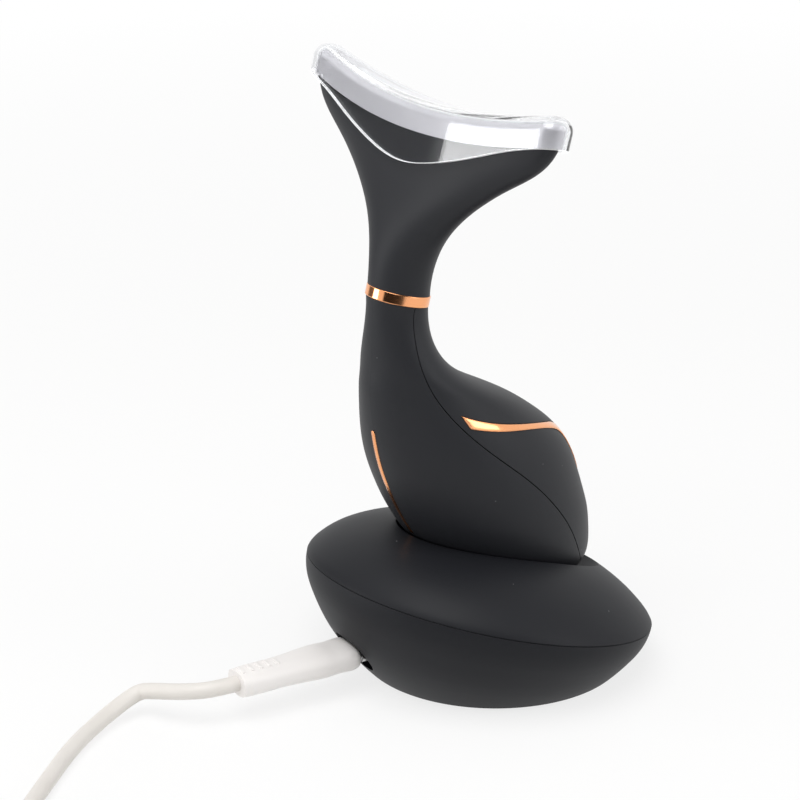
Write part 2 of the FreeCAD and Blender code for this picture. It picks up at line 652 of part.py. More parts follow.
def handle_inside(switch_back):
    room = skin("frame_room", HANDLE, "-sizes.handle_wall - sizes.fit_gap", "sizes.handle_wall")
    half = size("chassis_half")
    reach = size("far_out")
    tall = size("chassis_top") - size("chassis_low")
    corner = Vector(-reach, -half, size("chassis_low"))
    plate = feature("frame_sheet", Part.makeBox(reach + reach, half + half, tall, corner))
    frame = common("frame", room, plate)
    clear = cylinder("switch_room", "sizes.flange_radius + sizes.plunger_tall * 2", doubled("flange_radius"),
                     button_frame(switch_back - size("seat_gap")))
    light_room = cylinder("light_room", "sizes.light_radius * 2", doubled("flange_radius"),
                          button_frame(-size("flange_radius"), size("light_drop")))
    node("chassis", cut("frame", frame, clear, light_room), DOCK)
    board_y = -half - size("seat_gap") - size("main_thick")
    board = box("main_board", "sizes.main_back - sizes.main_front", "sizes.main_thick",
                "sizes.main_top - sizes.main_low", at(size("main_front"), board_y, size("main_low")))
    board_long = size("main_back") - size("main_front")
    chips = [
        box(f"chip_{number}", "sizes.chip_side", "sizes.chip_tall", "sizes.chip_side",
            at(size("main_front") + share * board_long, board_y - size("chip_tall"),
               size("main_low") + size("chip_side")))
        for number, share in enumerate(CHIP_SHARES)
    ]
    node("main_circuit_board", fuse("main_board", board, *chips), DOCK)
    cell_place = at(size("cell_front"), half + size("seat_gap"), size("cell_low"))
    cell = box("cell", "sizes.cell_back - sizes.cell_front", "sizes.cell_thick",
               "sizes.cell_top - sizes.cell_low", cell_place)
    node("battery_cell", cell, DOCK)
    low = Vector(size("throat_mid"), 0, size("chassis_top") + size("move_gap"))
    high = Vector(size("flare_mid"), 0, size("cradle_low") - size("move_gap"))
    along = high - low
    upward = Placement(low, Rotation(ALONG_Z, along))
    wires = cylinder("wire_bundle", "sizes.wire_radius", str(along.Length), upward)
    node("head_wires", wires, DOCK)


CHIP_SHARES = (0.15, 0.55)


def neck_ring():
    place = at(size("ring_x"), 0, size("ring_low"))
    outer = cylinder("ring_outer", "sizes.ring_radius", "sizes.ring_tall", place)
    bore = cylinder("ring_bore_bar", "sizes.ring_bore", doubled("ring_tall"),
                    at(size("ring_x"), 0, size("ring_low") - size("ring_tall") / 2))
    doc.recompute()
    radius = size("ring_round")
    soft = doc.addObject("Part::Fillet", "ring_soft")
    soft.Base = outer
    rims = [number for number, edge in enumerate(outer.Shape.Edges, start=1) if edge.isClosed()]
    soft.Edges = [(number, radius, radius) for number in rims]
    node("neck_ring", cut("ring", soft, bore), DOCK)


# Head


def saddle(name, inset):
    """A wide drum lying across the head, whose underside is the saddle curve moved up by inset."""
    reach = size("far_out")
    place = Placement(Vector(reach, 0, size("saddle_low") + size("saddle_radius")), Rotation(ALONG_Y, -90))
    return cylinder(name, f"sizes.saddle_radius - ({inset})", "sizes.far_out * 3", place)


def oval_bar(name, family, grow):
    """An upright bar of the plate's or the window's long oval, grown all round."""
    wire = long_oval(*(size(f"{family}_{word}") + grow for word in ("wide", "deep", "end")))
    wire.translate(Vector(size("plate_x"), 0, size("flare_up")))
    return feature(name, Part.Face(wire).extrude(ALONG_Z * size("far_out")))


def soften(name, body, alias, above):
    """Round the upper rim of a body: every edge whose lowest point is above a height of the dock frame."""
    doc.recompute()
    radius = size(alias)
    soft = doc.addObject("Part::Fillet", name)
    soft.Base = body
    soft.Edges = [(number, radius, radius) for number, edge in enumerate(body.Shape.Edges, start=1)
                  if edge.BoundBox.ZMin > above and edge.Length > radius]
    return soft


def head_shell():
    outside = head_skin("head_outer", 0)
    inside = head_skin("head_inner", -size("head_wall"), size("open_end"))
    node("head_shell", cut("head", outside, inside, saddle("head_top", "0")), DOCK)


def plate():
    bar = common("plate_band", oval_bar("plate_bar", "plate", 0), saddle("plate_low", "sizes.seat_gap"))
    body = cut("plate_band", bar, saddle("plate_top", "sizes.plate_thick"))
    lip_room = head_skin("lip_room", -size("head_wall") - size("fit_gap"))
    lip = cut("plate_lip", common("plate_lip", lip_room, saddle("lip_low", "-sizes.plate_lip")),
              saddle("lip_top", "sizes.seat_gap + sizes.seat_gap"))
    pocket = common("window_pocket", oval_bar("pocket_bar", "window", size("seat_gap")),
                    saddle("pocket_low", "sizes.plate_thick - sizes.window_thick - sizes.seat_gap"))
    shaft = oval_bar("light_shaft", "window", -size("window_ledge"))
    rim = size("saddle_low") + size("plate_thick") - size("seat_gap")
    soft = soften("plate_soft", body, "plate_round", rim)
    whole = cut("plate_whole", fuse("plate_whole", soft, lip), pocket, shaft)
    node("massage_plate", whole, DOCK)
    window = cut("window", common("window", oval_bar("window_pane", "window", 0),
                                  saddle("window_low", "sizes.plate_thick - sizes.window_thick")),
                 saddle("window_top", "sizes.plate_thick"))
    node("light_window", window, DOCK)
    board_room = head_skin("led_room", -size("head_wall") - 3 * size("fit_gap"))
    board = cut("led_sheet", common("led_sheet", board_room,
                                    saddle("led_low", "-sizes.plate_lip - sizes.led_gap - sizes.led_thick")),
                saddle("led_top", "-sizes.plate_lip - sizes.led_gap"))
    node("led_board", board, DOCK)
    chips = []
    middle = Vector(size("plate_x"), 0, size("saddle_low") + size("saddle_radius"))
    side = size("led_side")
    for number in range(-3, 4):
        place = Placement(ORIGIN, Rotation(ALONG_X, number * size("led_step")), middle)
        low = size("saddle_low") - size("plate_lip") - size("led_gap") + size("seat_gap") / 2
        chip = box(f"led_{number + 3}", "sizes.led_side", "sizes.led_side", "sizes.led_tall",
                   place.multiply(at(size("plate_x") - side / 2, -side / 2, low)))
        chips.append(chip)
    both = doc.addObject("Part::Compound", "led_set")
    both.Links = chips
    node("led_chips", both, DOCK)


def cap():
    reach = size("far_out")
    outer = cut("cap_outer", oval_bar("cap_bar", "plate", size("cap_gap") + size("cap_wall")),
                saddle("cap_top", "sizes.plate_thick + sizes.cap_gap + sizes.cap_wall"))
    inner = cut("cap_inner", oval_bar("cap_room", "plate", size("cap_gap")),
                saddle("cap_roof", "sizes.plate_thick + sizes.cap_gap"))
    half = [Vector(-reach - reach, y, z) for y, z in SKIRT]
    mirrored = [Vector(point.x, -point.y, point.z) for point in reversed(half[1:])]
    edge = mirrored + half
    corners = [edge[-1], Vector(edge[0].x, edge[-1].y, -reach), Vector(edge[0].x, edge[0].y, -reach), edge[0]]
    below = Part.Face(Part.Wire([spline(edge), Part.makePolygon(corners)]))
    under = feature("cap_under", below.extrude(ALONG_X * (reach + reach + reach)))
    rim = size("saddle_low") + size("plate_thick") + size("cap_gap") + size("cap_wall") - size("seat_gap")
    soft = soften("cap_soft", outer, "cap_round", rim)
    room = soften("cap_room_soft", inner, "plate_round", rim - size("cap_wall"))
    node("clear_cap", cut("cap", soft, room, under), DOCK)


def motor():
    lie = Rotation(ALONG_X, -90)
    x, up = size("motor_x"), size("motor_up")
    can = cylinder("motor_can", "sizes.motor_radius", "sizes.motor_long", at(x, size("motor_y"), up, lie))
    end = size("motor_y") + size("motor_long")
    shaft = cylinder("motor_shaft", "sizes.shaft_radius", "sizes.weight_gap + sizes.weight_long",
                     at(x, end, up, lie))
    node("vibration_motor", fuse("motor", can, shaft), DOCK)
    start = end + size("weight_gap")
    disc = cylinder("weight_disc", "sizes.weight_radius", "sizes.weight_long", at(x, start, up, lie))
    radius = size("weight_radius")
    hanging = Placement(Vector(x, start, up), Rotation(ALONG_Y, -size("dock_tilt")))
    lower = box("weight_half", doubled("weight_radius"), "sizes.weight_long", "sizes.weight_radius",
                hanging.multiply(at(-radius, 0, -radius)))
    half = common("weight_half", disc, lower)
    hub = cylinder("weight_hub_bar", "sizes.shaft_radius + sizes.weight_hub", "sizes.weight_long",
                   at(x, start, up, lie))
    bore = cylinder("weight_bore", "sizes.shaft_radius + sizes.seat_gap", doubled("weight_long"),
                    at(x, start - size("weight_long") / 2, up, lie))
    node("eccentric_weight", cut("weight", fuse("weight", half, hub), bore), DOCK)
    room = head_skin("cradle_room", -size("head_wall") - size("fit_gap"))
    block = common("cradle", room, slab("cradle_slab", size("cradle_low"), up))
    seat = cylinder("cradle_seat", "sizes.motor_radius + sizes.seat_gap",
                    "sizes.motor_long + sizes.weight_gap", at(x, size("motor_y") - size("seat_gap"), up, lie))
    space = cylinder("weight_space", "sizes.weight_radius + sizes.move_gap * 2",
                     "sizes.weight_long + sizes.weight_gap * 2", at(x, end, up, lie))
    node("motor_cradle", cut("cradle", block, seat, space), DOCK)


# Lead


def plug():
    """The plug in the base: a metal tip, and a grip with a round nose and a slim waist."""
    tip = stadium_bar("tip_outer", size("tip_wide"), size("tip_tall"), -MOUTH, -MOUTH + size("tip_long"))
    wall = size("tip_wall")
    bore = stadium_bar("tip_bore", size("tip_wide") - wall - wall, size("tip_tall") - wall - wall,
                       -MOUTH + wall, -MOUTH + size("tip_long") + wall)
    node("usb_plug_shell", cut("tip", tip, bore), PORT)
    nose = -MOUTH - size("seat_gap") / 2
    outlines = []
    for number, (place, wide, tall) in enumerate(GRIP):
        outline = blunt_oval(size("mold_wide") / 2 * wide, size("mold_tall") / 2 * tall, size("mold_blunt"))
        outline.rotate(ORIGIN, ALONG_Y, -90)
        outline.translate(Vector(nose - place, 0, size("port_z")))
        outlines.append(feature(f"mold_outline_{number}", outline))
    mold = doc.addObject("Part::Loft", "mold")
    mold.Sections = outlines
    mold.Solid = True
    node("usb_plug_overmold", mold, PORT)
    return PORT.multVec(Vector(nose - GRIP[-1][0], 0, size("port_z")))



def rounded(points):
    """Straight runs joined by tangent arcs, each as large as its two runs allow."""
    edges = []
    start = points[0]
    for before, corner, after in zip(points, points[1:], points[2:]):
        back, ahead = before - corner, after - corner
        turn = math.pi - back.getAngle(ahead)
        reach = CORNER_SHARE * min(back.Length, ahead.Length)
        print(f"cord turn {math.degrees(turn):.0f} degrees, radius {reach / math.tan(turn / 2):.1f}")
        enter = corner + back.normalize() * reach
        leave = corner + ahead.normalize() * reach
        bisector = (back + ahead).normalize()
        radius = reach / math.tan(turn / 2)
        middle = corner + bisector * (math.hypot(radius, reach) - radius)
        edges += [Part.LineSegment(start, enter).toShape(), Part.Arc(enter, middle, leave).toShape()]
        start = leave
    edges.append(Part.LineSegment(start, points[-1]).toShape())
    return Part.Wire(edges)


CORNER_SHARE = 0.45


def tube(name, path, start, along):
    """A round cord along a path; its volume is compared with its section times its length."""
    circle = Part.Wire(Part.Circle(start, along, size("cord_radius")).toShape())
    solid = path.makePipeShell([circle], True, False)
    straight = math.pi * size("cord_radius") ** 2 * path.Length
    print(f"{name}: length {path.Length:.1f}, volume over section times length {solid.Volume / straight:.4f}")
    return feature(name, solid)


def biarc(start, leaving, stop, arriving):
    """Two tangent arcs from one place and heading to another."""
    chord = stop - start
    spread = leaving + arriving
    a = spread.dot(spread) - 4
    b = -2 * chord.dot(spread)
    c = chord.dot(chord)
    reach = c / -b if abs(a) < 1e-9 else (-b - math.sqrt(b * b - 4 * a * c)) / (2 * a)
    first = start + leaving * reach
    second = stop - arriving * reach
    joint = (first + second) * 0.5
    arcs = []
    for begin, corner, end in ((start, first, joint), (joint, second, stop)):
        back, ahead = begin - corner, end - corner
        turn = math.pi - back.getAngle(ahead)
        leg = back.Length
        radius = leg / math.tan(turn / 2)
        bisector = (back.normalize() + ahead.normalize()).normalize()
        middle = corner + bisector * (math.hypot(radius, leg) - radius)
        arcs.append(Part.Arc(begin, middle, end).toShape())
    return arcs


def coil_path():
    """Three turns in, a half turn that climbs, and three turns out on top, in half turns of even pitch."""
    pitch = size("coil_pitch")
    radius = size("coil_outer")
    low = size("tie_thick") + size("tie_gap") + size("cord_radius")
    lead = size("cord_radius") * 2
    here = Vector(radius, 0, low)
    heading = Vector(0, 1, 0)
    edges = [Part.LineSegment(here - heading * lead, here).toShape()]
    side = 1
    steps = [-pitch / 2] * 5
    for change in [0] + steps:
        radius += change
        stop = here - Vector(side * 2 * radius, 0, 0)
        edges.append(Part.Arc(here, here + Vector(-side * radius, side * radius, 0), stop).toShape())
        here = stop
        side = -side
    radius -= pitch / 2
    stop = here - Vector(side * 2 * radius, 0, -size("coil_rise"))
    edges += biarc(here, Vector(0, side, 0), stop, Vector(0, -side, 0))
    here = stop
    side = -side
    for change in [-step for step in steps] + [pitch / 2, pitch / 2]:
        radius += change
        stop = here - Vector(side * 2 * radius, 0, 0)
        edges.append(Part.Arc(here, here + Vector(-side * radius, side * radius, 0), stop).toShape())
        here = stop
        side = -side
    edges.append(Part.LineSegment(here, here + Vector(0, side * lead, 0)).toShape())
    return edges, here + Vector(0, side * lead, 0)


def lead():
    exit_point = plug()
    edges, tail_start = coil_path()
    aside = Vector(exit_point.x, exit_point.y, 0)
    place = Placement(aside + Vector(size("coil_x"), size("coil_y"), 0), Rotation(ALONG_Z, size("coil_turn")))
    wire = Part.Wire(edges)
    start = edges[0].Vertexes[0].Point
    coil = tube("coil_tube", wire, start, ALONG_Y)
    print(f"coil: least gap between turns {coil_gap(wire):.2f}")
    node("cord_coil", coil, place)
    first = place.multVec(start)
    outward = PORT.Rotation.multVec(-ALONG_X)
    heading = place.Rotation.multVec(ALONG_Y)
    run = size("cord_radius") * 4
    points = [exit_point] + [aside + Vector(*point) for point in ROUTE] + [first - heading * run, first]
    node("cord_lead", tube("lead_tube", rounded(points), exit_point, outward))
    tail = [tail_start + Vector(*point) for point in TAIL]
    node("cord_tail", tube("tail_tube", rounded(tail), tail[0], tail[1] - tail[0]), place)
    big_plug(place, tail[-1], (tail[-1] - tail[-2]).normalize())
    tie(place, wire)


def coil_gap(wire):
    """Least clear distance between parts of the coil more than half a turn apart along it."""
    points = wire.discretize(400)
    step = wire.Length / 399
    skip = int(size("coil_outer") / step)
    least = size("far_out")
    for number, point in enumerate(points):
        for other in points[number + skip:]:
            least = min(least, point.distanceToPoint(other))
    return least - size("cord_radius") * 2


def big_plug(place, start, heading):
    """The lead's other end: a moulded grip, a metal shell and its insert, on the line of the coil's end."""
    frame = place.multiply(Placement(start + heading * (size("seat_gap") / 2), Rotation(ALONG_X, heading)))
    wide, tall = size("big_wide"), size("big_tall")
    grip = box("grip_block", "sizes.big_long", "sizes.big_wide", "sizes.big_tall",
               at(size("big_neck"), -wide / 2, -tall / 2))
    neck = doc.addObject("Part::Cone", "grip_neck")
    neck.setExpression("Radius1", "sizes.cord_radius + sizes.tie_thick")
    neck.setExpression("Radius2", "sizes.big_tall / 2 - sizes.big_round / 4")
    neck.setExpression("Height", "sizes.big_neck + sizes.seat_gap")
    neck.Placement = Placement(ORIGIN, Rotation(ALONG_Y, 90))
    soft = doc.addObject("Part::Fillet", "grip_soft")
    soft.Base = grip
    doc.recompute()
    radius = size("big_round")
    soft.Edges = [(number, radius, radius) for number, edge in enumerate(grip.Shape.Edges, start=1)
                  if abs(edge.tangentAt(edge.FirstParameter).x) > 0.5]
    node("usb_a_overmold", fuse("grip", neck, soft), frame)
    end = size("big_neck") + size("big_long") + size("seat_gap")
    wall = size("a_wall")
    shell = box("a_outer", "sizes.a_long", "sizes.a_wide", "sizes.a_tall",
                at(end, -size("a_wide") / 2, -size("a_tall") / 2))
    bore = box("a_bore", "sizes.a_long", "sizes.a_wide - sizes.a_wall * 2", "sizes.a_tall - sizes.a_wall * 2",
               at(end + wall, -size("a_wide") / 2 + wall, -size("a_tall") / 2 + wall))
    node("usb_a_shell", cut("a_shell", shell, bore), frame)
    insert = box("a_tongue", "sizes.a_long - sizes.a_wall * 3",
                 "sizes.a_wide - sizes.a_wall * 2 - sizes.seat_gap * 2", "sizes.a_insert",
                 at(end + wall + size("seat_gap"), -size("a_wide") / 2 + wall + size("seat_gap"),
                    -size("a_tall") / 2 + wall + size("seat_gap")))
    node("usb_a_insert", insert, frame)


def tie(place, wire):
    """A soft strap round the bundle of turns, across the coil's own y axis."""
    gap, thick = size("tie_gap"), size("tie_thick")
    cord = size("cord_radius")
    near_axis = [point.y for point in wire.discretize(2000) if abs(point.x) < cord and point.y > 0]
    inner_low = thick
    inner_tall = size("coil_rise") + 2 * cord + 2 * gap
    near = min(near_axis) - cord - 2 * gap
    wide = max(near_axis) - min(near_axis) + 2 * cord + 4 * gap
    long = size("tie_long")
    corner = Vector(-long / 2, near - thick, inner_low - thick)
    outer = Part.makeBox(long, wide + 2 * thick, inner_tall + 2 * thick, corner)
    hole = Part.makeBox(3 * long, wide, inner_tall, Vector(-3 * long / 2, near, inner_low))
    node("coil_tie", feature("tie_strap", outer.cut(hole)), place)


# Build, check and write


base_shells()
base_inside()
usb_port()
contacts()
handle_shells()
trims()
handle_inside(power_button())
neck_ring()
head_shell()
plate()
cap()
motor()
lead()
doc.recompute()

failed = [item.Label for item in doc.Objects if "Invalid" in item.State or "Error" in item.State]
bad = [item.Label for item in PARTS if item.Shape.isNull() or not item.Shape.isValid()]
print("failed:", failed)
print("bad shapes:", bad)
for item in PARTS:
    shape = item.Shape
    print(f"{item.Label}: {len(shape.Solids)} solids, {shape.Volume:.0f} mm3")
if failed or bad:
    raise SystemExit("the model is not sound")

os.makedirs("parts", exist_ok=True)
for item in PARTS:
    item.Shape.exportStep(f"parts/{item.Label}.step")
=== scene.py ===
# %% [markdown]
# # A face and neck massager in its charging base
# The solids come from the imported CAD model, in metres, with +Z up. This lesson gives them their
# finishes, adds a neck band and the ribs of a plug, lays the lead as one smooth cord, and sets up
# the camera and the studio. The massager stands on a table at z = 0.

# %% Load the frame
import bmesh
import bpy
import math
from mathutils import Matrix, Vector
from mathutils.bvhtree import BVHTree


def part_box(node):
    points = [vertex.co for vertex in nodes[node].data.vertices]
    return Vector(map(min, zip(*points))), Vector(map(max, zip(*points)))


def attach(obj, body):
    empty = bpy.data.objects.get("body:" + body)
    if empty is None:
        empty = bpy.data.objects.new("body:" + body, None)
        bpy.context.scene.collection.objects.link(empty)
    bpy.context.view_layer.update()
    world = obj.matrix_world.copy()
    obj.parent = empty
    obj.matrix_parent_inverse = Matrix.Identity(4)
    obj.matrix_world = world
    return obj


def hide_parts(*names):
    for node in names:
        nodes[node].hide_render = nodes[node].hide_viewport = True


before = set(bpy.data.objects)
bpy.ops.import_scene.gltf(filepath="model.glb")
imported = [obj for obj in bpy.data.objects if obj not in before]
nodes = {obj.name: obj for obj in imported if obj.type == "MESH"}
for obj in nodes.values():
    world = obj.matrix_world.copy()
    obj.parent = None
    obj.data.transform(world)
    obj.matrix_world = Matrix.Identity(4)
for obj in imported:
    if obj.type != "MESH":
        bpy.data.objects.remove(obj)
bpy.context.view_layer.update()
scene = bpy.context.scene
MM = 0.001
WHITE = (1.0, 1.0, 1.0, 1.0)
print("solids in the frame:", len(nodes))

# %% [markdown]
# ## Camera
# The photograph looks down on the massager by about twenty degrees, from its front left. A long
# lens keeps the uprights nearly parallel, so the camera stands well back. Its target is the middle
# of the picture, and the lamps face the same point.

# %% Camera
CAMERA_PLACE = Vector((-402.0, -476.6, 313.4)) * MM
CAMERA_TARGET = Vector((-29.65, 0.0, 75.2)) * MM
LENS_MM = 122.85
SENSOR_MM = 36.0
CLIP_START = 0.01


def facing_target(place):
    """The turn that points a camera or a lamp at the target."""
    return (CAMERA_TARGET - Vector(place)).to_track_quat("-Z", "Y").to_euler()


camera_data = bpy.data.cameras.new("photo_camera")
camera_data.lens = LENS_MM
camera_data.sensor_width = SENSOR_MM
camera_data.clip_start = CLIP_START
camera = bpy.data.objects.new("photo_camera", camera_data)
camera.location = CAMERA_PLACE
camera.rotation_euler = facing_target(CAMERA_PLACE)
scene.collection.objects.link(camera)
scene.camera = camera
scene.view_settings.view_transform = "Standard"
print("camera distance in mm:", round((CAMERA_TARGET - CAMERA_PLACE).length / MM))

# %% [markdown]
# ## Helpers for shader nodes
# Finishes are written as sRGB hex values, as a colour card gives them, and one function turns them
# into the linear numbers that shaders use. The others each add one node: any node with its settings
# and links, a sum on outputs and numbers, a change of range, or a reach along a direction.


# %% Helpers for shader nodes
def linear(hex_colour):
    """An sRGB hex value as linear RGBA."""
    channels = [int(hex_colour[start:start + 2], 16) / 255 for start in (1, 3, 5)]
    return [c / 12.92 if c <= 0.04045 else ((c + 0.055) / 1.055) ** 2.4 for c in channels] + [1.0]


def add(tree, kind, links=None, **settings):
    """Add one node, set its inputs or properties by name, and link outputs into its inputs."""
    made = tree.nodes.new(kind)
    for name, value in settings.items():
        if hasattr(made, name):
            setattr(made, name, value)
        else:
            made.inputs[name.replace("_", " ")].default_value = value
    for name, output in (links or {}).items():
        tree.links.new(output, made.inputs[name])
    return made


def calculate(tree, operation, *terms, **settings):
    """The result of a maths node on outputs of other nodes and plain numbers."""
    made = add(tree, "ShaderNodeMath", operation=operation, **settings)
    for number, term in enumerate(terms):
        if isinstance(term, bpy.types.NodeSocket):
            tree.links.new(term, made.inputs[number])
        else:
            made.inputs[number].default_value = term
    return made.outputs[0]


def remap(tree, value, low, high, start=0.0, stop=1.0, **settings):
    """A result that goes from low to high while the value goes from start to stop."""
    made = add(tree, "ShaderNodeMapRange", {"Value": value}, **settings)
    limits = {"From Min": start, "From Max": stop, "To Min": low, "To Max": high}
    for name, limit in limits.items():
        made.inputs[name].default_value = limit
    return made.outputs[0]


def along(tree, vector, direction):
    """How far a vector reaches along a direction."""
    made = add(tree, "ShaderNodeVectorMath", {0: vector}, operation="DOT_PRODUCT")
    made.inputs[1].default_value = direction
    return made.outputs["Value"]


# %% [markdown]
# ## Helpers for materials
# Every finish reads the object's own coordinates, so its grain keeps its real size and moves with
# the piece. Sizes of grain are in millimetres. Most finishes mix two close tones by a noise, and
# have a fine bump.


# %% Helpers for materials
def finish_named(name, **settings):
    """A new material, its node tree, and its shader with the settings that hold all over."""
    material = bpy.data.materials.new(name)
    material.use_nodes = True
    shader = material.node_tree.nodes["Principled BSDF"]
    for key, value in settings.items():
        shader.inputs[key.replace("_", " ")].default_value = value
    return material, material.node_tree, shader


def own_place(tree):
    """The object's own coordinates."""
    return add(tree, "ShaderNodeTexCoord").outputs["Object"]


def noise(tree, size_mm, detail, vector=None):
    """Noise whose features are about this many millimetres across."""
    where = own_place(tree) if vector is None else vector
    made = add(tree, "ShaderNodeTexNoise", {"Vector": where}, Detail=detail,
               Scale=1 / (size_mm * MM))
    return made.outputs[0]


def two_tones(tree, share, first, second):
    """A mix of two hex colours."""
    made = add(tree, "ShaderNodeMix", {0: share}, data_type="RGBA")
    made.inputs[6].default_value = linear(first)
    made.inputs[7].default_value = linear(second)
    return made.outputs[2]


def bumped(tree, height, strength, depth_mm, normal=None):
    """A normal that is bent by a height."""
    links = {"Height": height} if normal is None else {"Height": height, "Normal": normal}
    made = add(tree, "ShaderNodeBump", links, Strength=strength, Distance=depth_mm * MM)
    return made.outputs[0]


def dress(material, *names):
    """Give a finish to CAD nodes."""
    for name in names:
        slots = nodes[name].data.materials
        slots.clear()
        slots.append(material)


# %% [markdown]
# ## Table
# The table is white paper. The eye, mirrors and clear plastic see it glow, so that it stays white
# under soft shadows, and the glow grows with the distance until the paper's edge meets the white
# surround. The rays that light the massager see plain paper.

# %% Table
TABLE_SIZE = 2.2
PAPER_GLOW = 0.78
FADE_START, FADE_STOP = 0.25, 0.7


def seen_directly(tree):
    """One for camera, mirror and clear-plastic rays, zero for the rays that light a surface."""
    rays = add(tree, "ShaderNodeLightPath").outputs
    eye_or_mirror = calculate(tree, "MAXIMUM", rays["Is Camera Ray"], rays["Is Glossy Ray"])
    return calculate(tree, "MAXIMUM", eye_or_mirror, rays["Is Transmission Ray"])


bpy.ops.mesh.primitive_plane_add(size=TABLE_SIZE)
table = bpy.context.object
table.name = "table"
paper, tree, shader = finish_named("white_paper", Roughness=0.9)
shader.inputs["Base Color"].default_value = linear("#F4F4F3")
white = add(tree, "ShaderNodeEmission", Color=WHITE, Strength=1.0)
distance = add(tree, "ShaderNodeVectorMath", {0: own_place(tree)}, operation="LENGTH")
fade = remap(tree, distance.outputs["Value"], PAPER_GLOW, 1.0, FADE_START, FADE_STOP)
glow = calculate(tree, "MULTIPLY", seen_directly(tree), fade)
mixed = add(tree, "ShaderNodeMixShader", {0: glow, 1: shader.outputs[0], 2: white.outputs[0]})
tree.links.new(mixed.outputs[0], tree.nodes["Material Output"].inputs["Surface"])
table.data.materials.append(paper)
print("table in m:", TABLE_SIZE)

# %% [markdown]
# ## Surround
# The surround looks white, and lights the massager with a lower, even light. A studio is dark
# behind the viewer, and a dark card stands beside the lamps. Polished metal and clear plastic show
# both as dark patches, so mirror rays find two dark cones in the surround.

# %% Surround
AMBIENT = 0.46
VIEWER_BEARING = math.radians(232)
CARD_BEARING = math.radians(114)
CARD_RISE = 0.06
BEHIND_VIEWER = Vector((math.cos(VIEWER_BEARING), math.sin(VIEWER_BEARING), 0.0))
SIDE_CARD = Vector((math.cos(CARD_BEARING), math.sin(CARD_BEARING), CARD_RISE))
world = bpy.data.worlds.new("white_surround")
scene.world = world
world.use_nodes = True
sky = world.node_tree


def dark_cone(direction, inside, outside, depth):
    """The depth within the inner angle, falling to zero at the outer angle, in degrees."""
    toward = add(sky, "ShaderNodeTexCoord").outputs["Generated"]
    facing = along(sky, toward, direction.normalized())
    return remap(sky, facing, 0.0, depth, math.cos(math.radians(outside)),
                 math.cos(math.radians(inside)), interpolation_type="SMOOTHSTEP")


cones = calculate(sky, "MAXIMUM",
                  dark_cone(BEHIND_VIEWER, inside=48, outside=56, depth=0.97),
                  dark_cone(SIDE_CARD, inside=20, outside=23, depth=0.85))
mirror_rays = add(sky, "ShaderNodeLightPath").outputs["Is Glossy Ray"]
mirror_dark = calculate(sky, "MULTIPLY", cones, mirror_rays)
level = remap(sky, seen_directly(sky), AMBIENT, 1.0)
strength = calculate(sky, "SUBTRACT", level, mirror_dark, use_clamp=True)
background = sky.nodes["Background"]
background.inputs["Color"].default_value = WHITE
sky.links.new(strength, background.inputs["Strength"])
print("surround lights at", AMBIENT, "and looks white")

# %% [markdown]
# ## Lamps
# Three soft boxes: a large one above and to the front left, a low one behind on the left, whose
# reflection lies on the right half of the clear cap, and a weak one on the right. Their sizes make
# the shadows soft.


# %% Lamps
def softbox(name, place, width, height, power):
    """A rectangular lamp that faces the massager, in metres and watts."""
    data = bpy.data.lights.new(name, "AREA")
    data.shape = "RECTANGLE"
    data.size, data.size_y = width, height
    data.energy = power
    lamp = bpy.data.objects.new(name, data)
    lamp.location = place
    lamp.rotation_euler = facing_target(place)
    scene.collection.objects.link(lamp)


softbox("top_lamp", place=(-0.45, -0.2, 1.05), width=0.8, height=0.8, power=8.5)
softbox("left_lamp", place=(-0.934, 0.577, 0.17), width=0.4, height=0.34, power=2.3)
softbox("right_lamp", place=(0.5, -0.8, 0.5), width=0.5, height=0.6, power=2.2)

# %% [markdown]
# ## Soft-touch black
# The handset is moulded in ABS and sprayed with a rubbery lacquer. To the eye that is a dark,
# slightly bluish grey with a broad, dull sheen and a very fine grain. A few specks of dust cling to
# such a finish. The base is a plainer matt moulding with less sheen.

# %% Black lacquers
DUST = "#8A8A8C"
GRAIN_MM = 0.35
CLOUD_MM = 26
CLOUD_TONE = 0.08
CLOUD_ROUGHNESS = 0.05
SPECK_SPACING_MM = 7.5
SPECK_CORE, SPECK_EDGE = 0.016, 0.028
SPECK_STRENGTH = 0.55
BARE_SHARE = 0.72
EDGE_ROUND_MM = 0.3


def dust_specks(tree):
    """How much dust lies at a place: dots in a few cells of a scattered pattern."""
    cells = add(tree, "ShaderNodeTexVoronoi", {"Vector": own_place(tree)},
                Scale=1 / (SPECK_SPACING_MM * MM)).outputs
    dot = remap(tree, cells["Distance"], SPECK_STRENGTH, 0.0, SPECK_CORE, SPECK_EDGE)
    chance = add(tree, "ShaderNodeSeparateColor", {"Color": cells["Color"]}).outputs[0]
    return calculate(tree, "MULTIPLY", dot, calculate(tree, "GREATER_THAN", chance, BARE_SHARE))


